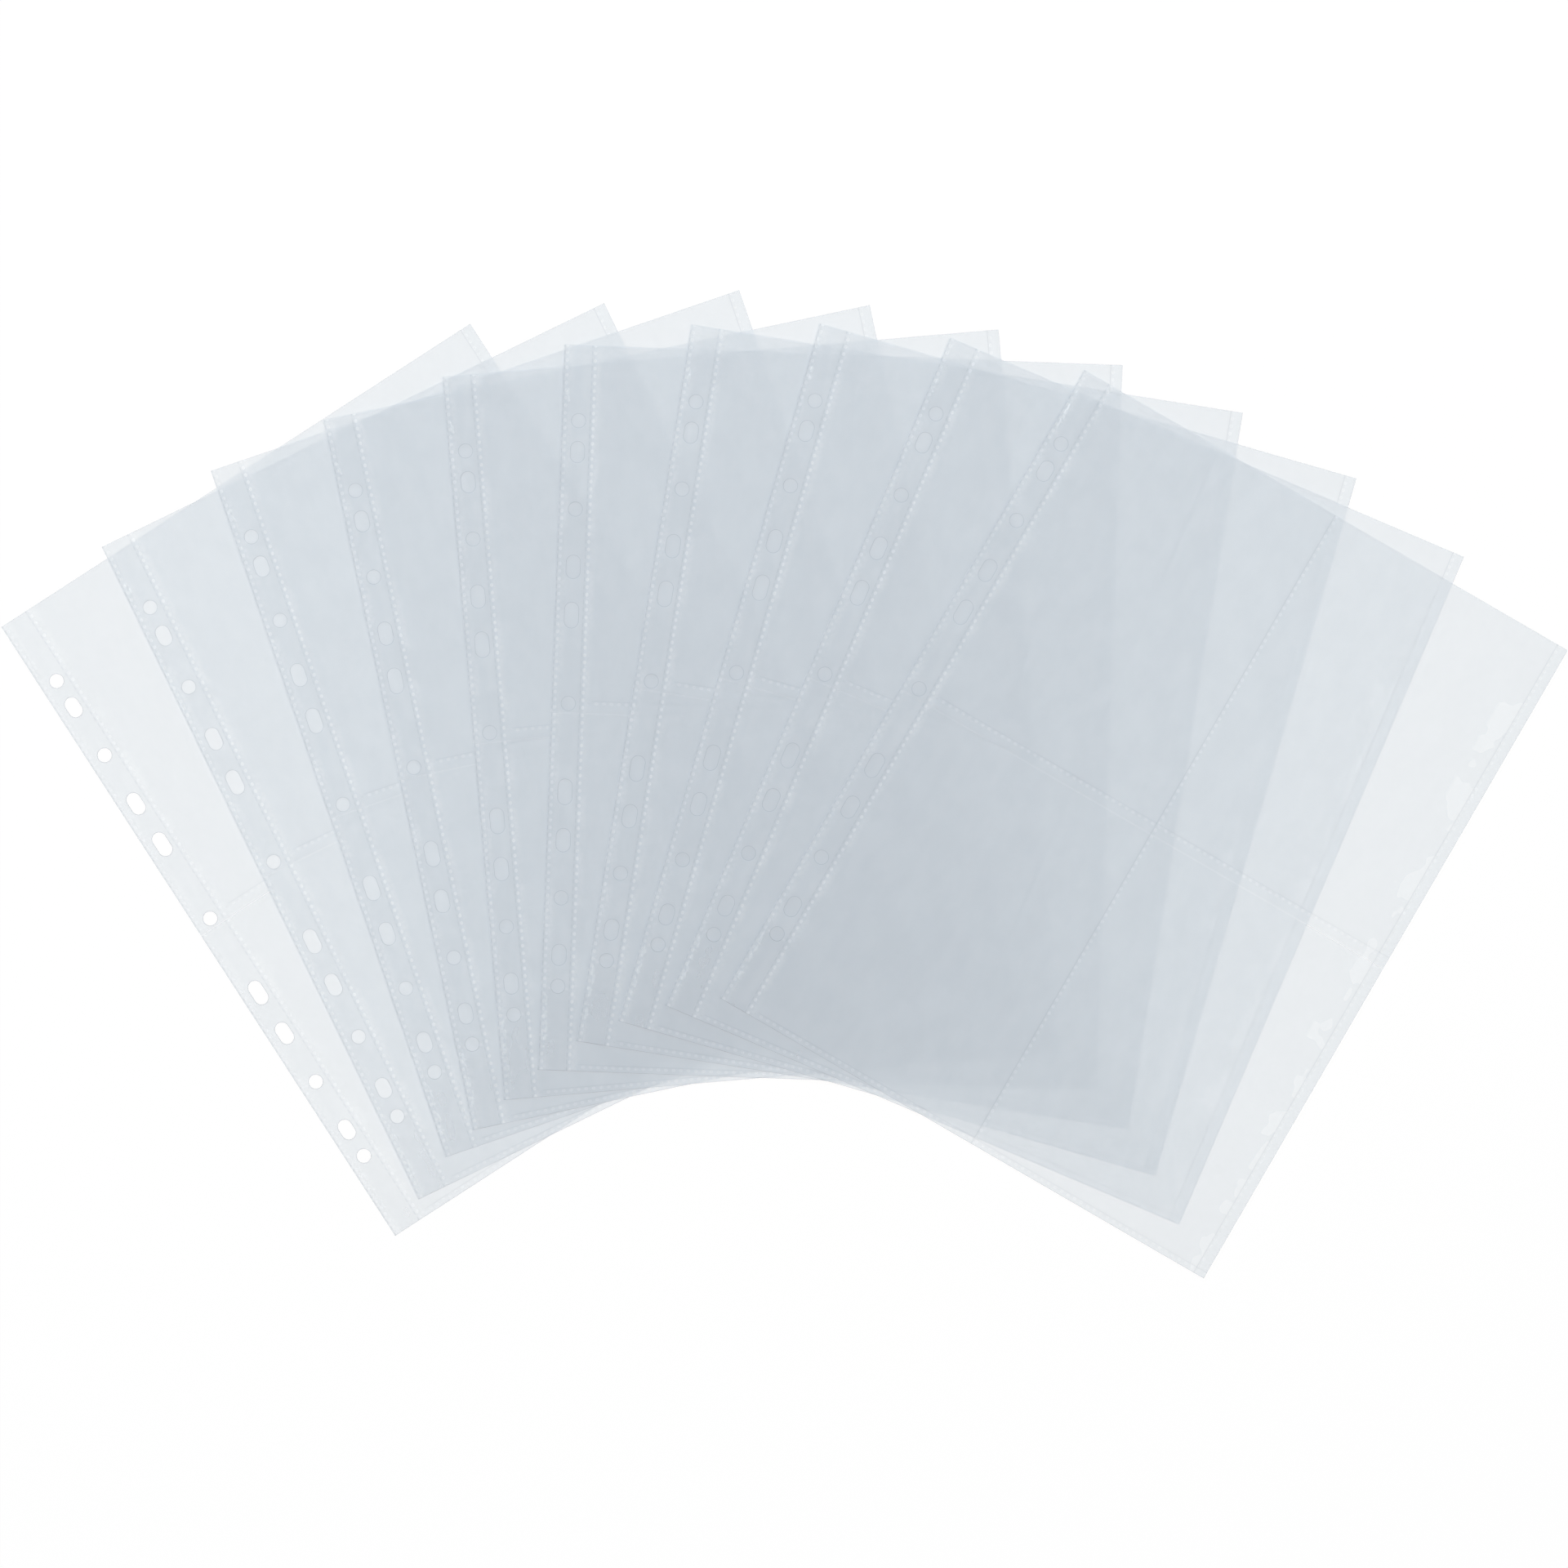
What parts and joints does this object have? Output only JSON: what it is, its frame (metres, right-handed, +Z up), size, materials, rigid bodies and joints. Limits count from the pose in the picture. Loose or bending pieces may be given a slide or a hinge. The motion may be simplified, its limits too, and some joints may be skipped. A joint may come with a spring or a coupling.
{
  "type": "postcard sleeve set",
  "caption": "Fan of clear punched film sleeves for a ring binder, each with welded pockets that hold postcards upright.",
  "frame": {"origin": "on the table, under the middle of the fan's outline", "axes": "+Z up off the table; +Y towards the sleeves' top edges, the side to which the fan opens; +X to the right, seen from above"},
  "size_m": [0.6644, 0.4192, 0.0047],
  "materials": {
    "clear_film": "clear, faintly blue-grey polypropylene film, glossy, with light puckers along its welds"
  },
  "bodies": {
    "sleeve_01": {"sleeve_01_back_film": "clear_film", "sleeve_01_upper_pocket_film": "clear_film", "sleeve_01_lower_pocket_film": "clear_film"},
    "sleeve_02": {"sleeve_02_back_film": "clear_film", "sleeve_02_upper_pocket_film": "clear_film", "sleeve_02_lower_pocket_film": "clear_film"},
    "sleeve_03": {"sleeve_03_back_film": "clear_film", "sleeve_03_upper_pocket_film": "clear_film", "sleeve_03_lower_pocket_film": "clear_film"},
    "sleeve_04": {"sleeve_04_back_film": "clear_film", "sleeve_04_upper_pocket_film": "clear_film", "sleeve_04_lower_pocket_film": "clear_film"},
    "sleeve_05": {"sleeve_05_back_film": "clear_film", "sleeve_05_upper_pocket_film": "clear_film", "sleeve_05_lower_pocket_film": "clear_film"},
    "sleeve_06": {"sleeve_06_back_film": "clear_film", "sleeve_06_upper_pocket_film": "clear_film", "sleeve_06_lower_pocket_film": "clear_film"},
    "sleeve_07": {"sleeve_07_back_film": "clear_film", "sleeve_07_upper_pocket_film": "clear_film", "sleeve_07_lower_pocket_film": "clear_film"},
    "sleeve_08": {"sleeve_08_back_film": "clear_film", "sleeve_08_upper_pocket_film": "clear_film", "sleeve_08_lower_pocket_film": "clear_film"},
    "sleeve_09": {"sleeve_09_back_film": "clear_film", "sleeve_09_upper_pocket_film": "clear_film", "sleeve_09_lower_pocket_film": "clear_film"},
    "sleeve_10": {"sleeve_10_back_film": "clear_film", "sleeve_10_upper_pocket_film": "clear_film", "sleeve_10_lower_pocket_film": "clear_film"}
  },
  "joints": [
    {"name": "sleeve_02_swivel", "type": "hinge", "parent": "sleeve_01", "child": "sleeve_02", "pos_m": [-0.03347, -0.26539, 0.0005], "axis": [0, 0, 1], "range_deg": [-7, 7]},
    {"name": "sleeve_03_swivel", "type": "hinge", "parent": "sleeve_02", "child": "sleeve_03", "pos_m": [-0.00256, -0.2615, 0.001], "axis": [0, 0, 1], "range_deg": [-7, 7]},
    {"name": "sleeve_04_swivel", "type": "hinge", "parent": "sleeve_03", "child": "sleeve_04", "pos_m": [-0.04364, -0.2465, 0.0015], "axis": [0, 0, 1], "range_deg": [-7, 7]},
    {"name": "sleeve_05_swivel", "type": "hinge", "parent": "sleeve_04", "child": "sleeve_05", "pos_m": [-0.02115, -0.24891, 0.002], "axis": [0, 0, 1], "range_deg": [-7, 7]},
    {"name": "sleeve_06_swivel", "type": "hinge", "parent": "sleeve_05", "child": "sleeve_06", "pos_m": [-0.00647, -0.24464, 0.0025], "axis": [0, 0, 1], "range_deg": [-7, 7]},
    {"name": "sleeve_07_swivel", "type": "hinge", "parent": "sleeve_06", "child": "sleeve_07", "pos_m": [0.00338, -0.24901, 0.003], "axis": [0, 0, 1], "range_deg": [-7, 7]},
    {"name": "sleeve_08_swivel", "type": "hinge", "parent": "sleeve_07", "child": "sleeve_08", "pos_m": [-0.00894, -0.25007, 0.0035], "axis": [0, 0, 1], "range_deg": [-7, 7]},
    {"name": "sleeve_09_swivel", "type": "hinge", "parent": "sleeve_08", "child": "sleeve_09", "pos_m": [-0.00649, -0.25963, 0.004], "axis": [0, 0, 1], "range_deg": [-7, 7]},
    {"name": "sleeve_10_swivel", "type": "hinge", "parent": "sleeve_09", "child": "sleeve_10", "pos_m": [-0.01361, -0.28268, 0.0045], "axis": [0, 0, 1], "range_deg": [-7, 7]}
  ]
}
